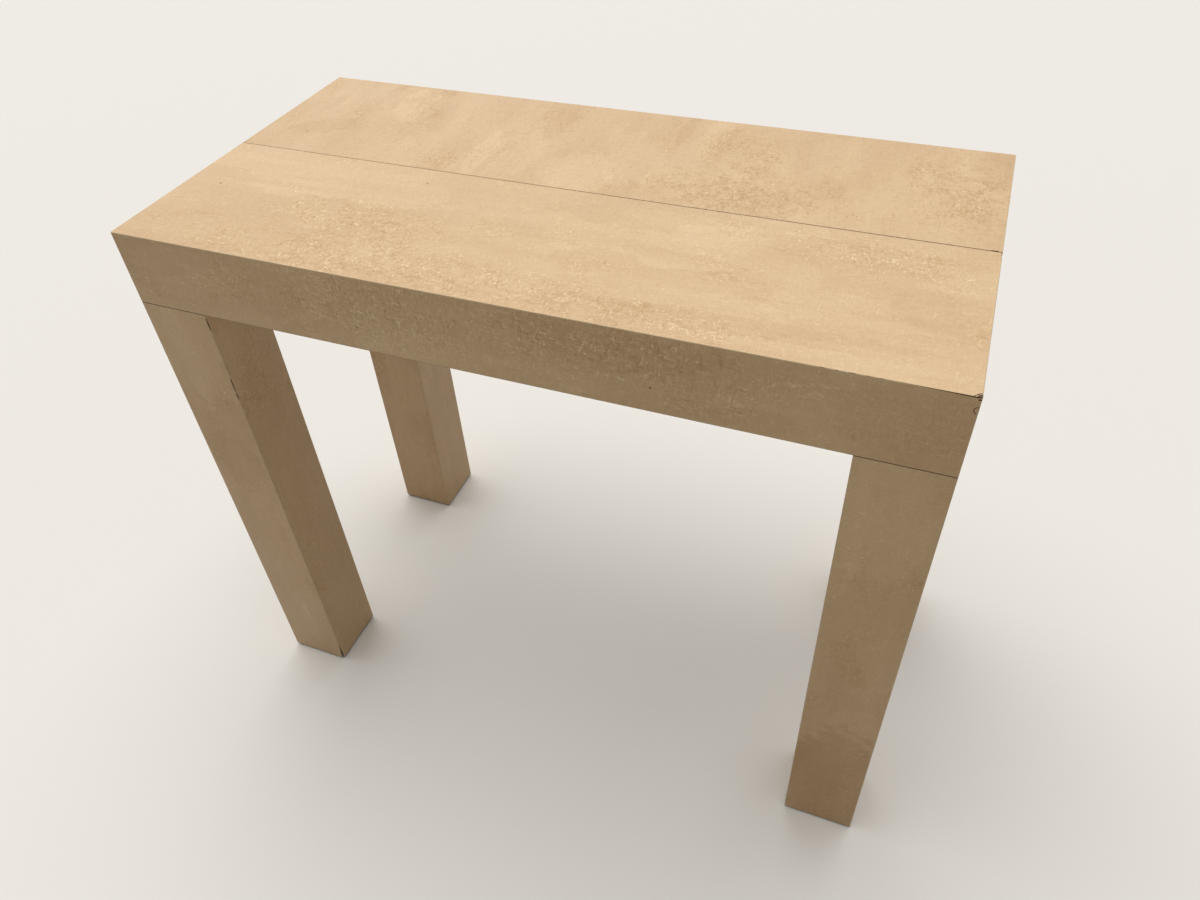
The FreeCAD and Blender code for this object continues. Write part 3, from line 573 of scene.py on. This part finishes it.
# The front arris is worn at its right end. The corner has a broken tip, the mitre has opened a little,
# and a knock on the upright arris has a dirty rim. The seam's right end is knocked on both halves.
# Each worn place has its centre, radii, turn and finish, and each nick its place and length
OPENED_MITRE = 0.9
OPENED_LENGTH = 70
WORN_PLACES = {
    "front": [
        ((449.6, -224.4, 760.4), (5.6, 3.6, 1.3), 40, GRIME_AND_SHADE),
        ((446.0, -222.0, 760), (4.4, 0.55, 0.9), 42, DIRT),
        ((448.4, -225.2, 757.0), (1.7, 0.8, 0.8), 0, DIRT),
        ((449.6, -225.4, 746), (3.2, 0.7, 3.0), 0, FACE),
        ((451.4, 1.0, 758), (2.6, 8, 9), 0, SAWN),
    ],
    "rear": [((442.5, 5.7, 760), (4.2, 1.5, 1.2), 6, GRIME_AND_SHADE)],
}
RIM_CENTRE = (449.2, -225, 746)
RIM_RADII = (3.3, 3.2)
RIM_STEPS = range(95, 250, 30)
RIM_SPOT = (0.45, 0.5, 1.0)
for step in RIM_STEPS:
    bend = radians(step)
    spot = Vector(RIM_CENTRE) + Vector((RIM_RADII[0] * cos(bend), 0, RIM_RADII[1] * sin(bend)))
    WORN_PLACES["front"].append((spot, RIM_SPOT, -step, DIRT, "Y"))
NICKS = ((322, 5), (334, 4), (347, 7), (360, 3), (371, 5))
NICK_DEPTH = (0.55, 0.6)
for x, length in NICKS:
    WORN_PLACES["front"].append(((x, -225.1, TOP), (length, *NICK_DEPTH), 0, DIRT))

for half, outward in FRONT_AND_REAR.items():
    seam = SEAM[half]
    outside = outward * TABLE_DEPTH / 2
    shell = blank(
        (-TABLE_WIDTH / 2, min(seam, outside), APRON_FOOT), (TABLE_WIDTH / 2, max(seam, outside), TOP)
    )

    def outer_faces(middle):
        """How many outer faces of the half a point lies on."""
        from_top = middle.z - TOP
        from_apron = middle.y - outside
        from_end = abs(middle.x) - TABLE_WIDTH / 2
        return sum(abs(distance) < NEAR for distance in (from_top, from_apron, from_end))

    def banded(middle):
        """Whether an edge is an outer one along the seam, or along the foot of the aprons."""
        at_seam = abs(middle.y - seam) < NEAR
        at_foot = abs(middle.z - APRON_FOOT) < NEAR
        return outer_faces(middle) == 1 and at_seam != at_foot

    # The outer arrises are rubbed pale, with a painted highlight along them
    ease(shell, lambda middle: outer_faces(middle) > 1, TOP_ARRIS, ARRIS)
    # The arrises at the seam and along the foot of the aprons are dark with grime and painted shade
    ease(shell, banded, BAND_ARRIS, GRIME_AND_SHADE)

    # The gap at the seam narrows towards its left end
    for vert in shell.verts:
        if abs(vert.co.y / MM - seam) < 2 * BAND_ARRIS:
            vert.co.y += SEAM_TAPER[half] * (MM / 2 - vert.co.x / TABLE_WIDTH)

    # Bores for the dowels and screws, bare inside, and the worn places
    tools = bmesh.new()
    bores = []
    radius, depth = DOWEL_HOLE[half]
    for x in DOWELS:
        middle = (x, seam + outward * (depth - BORE_MOUTH) / 2, DOWEL_HEIGHT)
        bores.append((middle, Matrix.Rotation(radians(90), 4, "X"), radius, depth, DOWEL_HOLE_SIDES))
    radius, depth = SCREW_HOLE
    for x, y in SCREWS[half]:
        for sideways in LEFT_AND_RIGHT.values():
            middle = (sideways * x, y, TOP - BOARD + (depth - BORE_MOUTH) / 2)
            bores.append((middle, Matrix.Identity(4), radius, depth, SCREW_HOLE_SIDES))
    for middle, turn, radius, depth, sides in bores:
        bmesh.ops.create_cone(
            tools, cap_ends=True, segments=sides, radius1=radius * MM, radius2=radius * MM,
            depth=(depth + BORE_MOUTH) * MM, matrix=Matrix.Translation(Vector(middle) * MM) @ turn,
        )
    for face in tools.faces:
        face.material_index = SAWN
    for worn in WORN_PLACES[half]:
        gouge(tools, *worn)

    # Each board is cut from the shell along its inner face, and along its mitres with the others. A
    # mitre has a corner that it passes through and the direction of the waste
    corner = Vector((0, outside, TOP))
    cuts = {
        "top": [((0, 0, TOP - BOARD), (0, 0, -1), BACK)],
        "apron": [((0, outside - outward * BOARD, 0), (0, -outward, 0), BACK)],
    }
    mitres = {"top": [(corner, (0, outward, -1))], "apron": [(corner, (0, -outward, 1))]}
    for side, sideways in LEFT_AND_RIGHT.items():
        board = f"{side}_end"
        end = sideways * TABLE_WIDTH / 2
        end_corner = Vector((end, outside, TOP))
        cuts[board] = [((end - sideways * BOARD, 0, 0), (-sideways, 0, 0), BACK)]
        mitres["top"].append((end_corner, (sideways, 0, -1)))
        mitres["apron"].append((end_corner, (sideways, -outward, 0)))
        mitres[board] = [(end_corner, (-sideways, 0, 1)), (end_corner, (-sideways, outward, 0))]
    for board, mitre in mitres.items():
        for point, waste in mitre:
            waste = Vector(waste).normalized()
            cuts[board].append((point - waste * GLUE_LINE, waste, SAWN))
    if half == "front":
        waste = Vector((OPENED_MITRE / OPENED_LENGTH, 0, 0)) + Vector(mitres["apron"][0][1]).normalized()
        start = corner + Vector((TABLE_WIDTH / 2 - OPENED_LENGTH, 0, 0))
        cuts["apron"].append((start, waste, DIRT))

    for board, node in BOARD_NODES.items():
        foil = FOILS.get(f"{half}_{board}", rear_foil)
        name = f"{half}_{board}_board"
        made = new_object(name, sawn_board(shell, cuts[board]), board_finishes(foil))
        cut_out(made, tools.copy())
        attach(made, f"{half}_half")
        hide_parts(f"{half}_{node}")
    tools.free()
    shell.free()

# Corner plates and leg bolts
# A chipboard plate is glued into each corner above a leg, and two flanged bolts go down through it
# into the inserts in the head of the leg.
for half in FRONT_AND_REAR:
    dress(f"{half}_corner_plates", bare_chipboard)
    dress(f"{half}_leg_bolts", zinc_plate)

# Telescopic rails and stops
# Two packs of nine nested aluminium extrusions carry the front half out. The outermost rail is
# screwed under the rear top and the innermost under the front top, and nylon stops limit each draw.
# The extrusions have fine die lines along them and a satin shine. The nylon is a warm, cloudy white.
STAGES = ["front", "rear"] + [f"slide_stage_{number}" for number in range(1, 8)]
DIE_LINES = (1, 120, 1)
mill_aluminium = mottled("extruded aluminium", 0.36, "#AEB1B3", "#D4D6D7", 0.9, 0.03, 1.0, DIE_LINES)
white_nylon = mottled("moulded white nylon", 0.48, "#D3CFC4", "#EFEDE6", 6, 0.05)
for stage in STAGES:
    for side in LEFT_AND_RIGHT:
        dress(f"{stage}_{side}_rail", mill_aluminium)
    dress(f"{stage}_rail_stops", white_nylon)

# Seam dowels and their sockets
# Three beech dowels stand out of the front top's seam edge and find nylon sockets in the rear top,
# so that the two tops close level. The beech is a pale reddish brown with short grain along the dowel.
BEECH_GRAIN = (1, 12, 1)
beech = mottled("turned beech", 0.55, "#B4804E", "#DDB486", 1.1, 0.06, 0.0, BEECH_GRAIN)
dress("seam_dowels", beech)
dress("dowel_sockets", white_nylon)

# Latches
# Two pressed-steel hand latches under the seam hold the halves shut. Each has a base strap and a
# pivot on the front top, a lever that swings round it, and a keeper with a stud on the rear top.
for node in ("latch_bases", "latch_pivots", "latch_keepers", "left_latch_lever", "right_latch_lever"):
    dress(node, zinc_plate)

# Wood screws
# Zinc-plated pan-head screws hold the fixed rails and the latch straps up under the tops. The heads
# are pressed with a cross recess and the threads are rolled, and here each turn is a plain ring.
FLANGE_FACE = 739
STRAP_FACE = 740
HEAD_PROFILE = (
    (0, -2.4), (1.5, -2.32), (2.6, -1.95), (3.25, -1.3), (3.5, -0.55), (3.42, -0.1), (3.3, 0), (1.5, 0),
)
THREAD_ROOT = 1.2
THREAD_CREST = 1.72
THREAD_PITCH = 1.4
THREAD_TURNS = 9
SCREW_POINT = 14
SCREW_SIDES = 24
RECESS_LENGTH = 3.8
RECESS_WIDTH = 0.95
RECESS_DEPTH = 1.6
RECESS_TAPER = (0.3, 0.5, 1)
SHARP_FROM = 32
# Each screw stopped at its own turn of the driver, by so many degrees for each mm of its place
DRIVER_TURN = 7


def wood_screw():
    """A screw with its point up and the underside of its head at height 0."""
    profile = list(HEAD_PROFILE)
    for turn in range(THREAD_TURNS):
        foot = turn * THREAD_PITCH
        profile += [(THREAD_ROOT, foot + THREAD_PITCH / 3), (THREAD_CREST, foot + THREAD_PITCH)]
    profile.append((0, SCREW_POINT))
    screw = bmesh.new()
    verts = [screw.verts.new(Vector((across, 0, height)) * MM) for across, height in profile]
    edges = [screw.edges.new(pair) for pair in zip(verts, verts[1:])]
    bmesh.ops.spin(
        screw, geom=verts + edges, cent=(0, 0, 0), axis=(0, 0, 1), angle=radians(360),
        steps=SCREW_SIDES, use_merge=True,
    )
    bmesh.ops.remove_doubles(screw, verts=screw.verts, dist=SLIVER * MM)
    return screw


def cross_recess():
    """The driver's shape, two bars that cross and taper into the head."""
    bars = []
    crown = HEAD_PROFILE[0][1]
    for turn in (0, 90):
        bar = blank(
            (-RECESS_LENGTH / 2, -RECESS_WIDTH / 2, crown - 1),
            (RECESS_LENGTH / 2, RECESS_WIDTH / 2, crown + RECESS_DEPTH),
        )
        tip = [vert for vert in bar.verts if vert.co.z > crown * MM]
        bmesh.ops.scale(bar, vec=RECESS_TAPER, verts=tip)
        across = Matrix.Rotation(radians(turn), 3, "Z")
        bmesh.ops.rotate(bar, cent=(0, 0, 0), matrix=across, verts=bar.verts)
        bars.append(bar)
    return together(bars)


for half in FRONT_AND_REAR:
    screws = []
    recesses = []
    for x, y in SCREWS[half]:
        for sideways in LEFT_AND_RIGHT.values():
            face = STRAP_FACE if x == LATCH_X else FLANGE_FACE
            place = Vector((sideways * x, y, face)) * MM
            turn = Matrix.Rotation(radians(DRIVER_TURN * y), 3, "Z")
            for made, pile in ((wood_screw(), screws), (cross_recess(), recesses)):
                bmesh.ops.rotate(made, cent=(0, 0, 0), matrix=turn, verts=made.verts)
                bmesh.ops.translate(made, vec=place, verts=made.verts)
                pile.append(made)
    made = new_object(f"{half}_wood_screws", together(screws), [zinc_plate])
    cut_out(made, together(recesses))
    made.data.shade_smooth()
    made.data.set_sharp_from_angle(angle=radians(SHARP_FROM))
    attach(made, f"{half}_half")
    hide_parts(f"{half}_screws")

# Floor, light and camera
# A pale matt floor under one broad soft overhead light and a weak even sky. The camera stands in
# front of the table's right half, 1.24 m above the floor, and looks down at it.

# Places are in metres, the lens is in mm and angles are in degrees
FLOOR_SIZE = 60
FLOOR_SEEN = "#EDE9E2"
FLOOR_BOUNCE = "#8C8882"
SKY_COLOUR = "#FFFFFF"
SKY_SEEN = 0.9
SKY_LIGHT = 0.3
SUN_STRENGTH = 2.3
SUN_SPREAD = 75
SUN_FROM = (-0.22, 0.28, 1)
SENSOR_WIDTH = 36.0
FOCAL_LENGTH = 27.518
CAMERA_PLACE = (0.39004, -0.85314, 1.24066)
CAMERA_ANGLES = (47.064, 2.573, 21.309)


def seen_directly(tree):
    """1 for what the camera sees straight, in gloss or through something, and 0 for stray light."""
    path = add_node(tree, "ShaderNodeLightPath", {}).outputs
    inputs = {0: path["Is Camera Ray"], 1: path["Is Glossy Ray"]}
    either = add_node(tree, "ShaderNodeMath", inputs, operation="MAXIMUM").outputs[0]
    inputs = {0: either, 1: path["Is Transmission Ray"]}
    return add_node(tree, "ShaderNodeMath", inputs, operation="MAXIMUM").outputs[0]


bpy.ops.mesh.primitive_plane_add(size=FLOOR_SIZE)
floor = bpy.context.object
floor.name = "floor"
pale_floor, tree, shader, place = start_material("pale matt floor", 0.85)
ends = {AMOUNT: seen_directly(tree), FROM: linear(FLOOR_BOUNCE), TO: linear(FLOOR_SEEN)}
floor_colour = add_node(tree, "ShaderNodeMix", ends, data_type="RGBA").outputs[MIXED]
tree.links.new(floor_colour, shader.inputs["Base Color"])
floor.data.materials.append(pale_floor)

sky = bpy.data.worlds.new("even sky")
sky.use_nodes = True
tree = sky.node_tree
background = tree.nodes["Background"]
background.inputs["Color"].default_value = linear(SKY_COLOUR)
inputs = {"Value": seen_directly(tree), "To Min": SKY_LIGHT, "To Max": SKY_SEEN}
level = add_node(tree, "ShaderNodeMapRange", inputs).outputs[0]
tree.links.new(level, background.inputs["Strength"])
bpy.context.scene.world = sky

overhead = bpy.data.lights.new("overhead", "SUN")
overhead.energy = SUN_STRENGTH
overhead.angle = radians(SUN_SPREAD)
lamp = bpy.data.objects.new("overhead", overhead)
lamp.rotation_euler = Vector(SUN_FROM).to_track_quat("Z", "Y").to_euler()
bpy.context.scene.collection.objects.link(lamp)

lens = bpy.data.cameras.new("camera")
lens.sensor_width = SENSOR_WIDTH
lens.lens = FOCAL_LENGTH
camera = bpy.data.objects.new("camera", lens)
camera.location = CAMERA_PLACE
camera.rotation_euler = [radians(angle) for angle in CAMERA_ANGLES]
bpy.context.scene.collection.objects.link(camera)
bpy.context.scene.camera = camera
bpy.context.scene.view_settings.view_transform = "Standard"
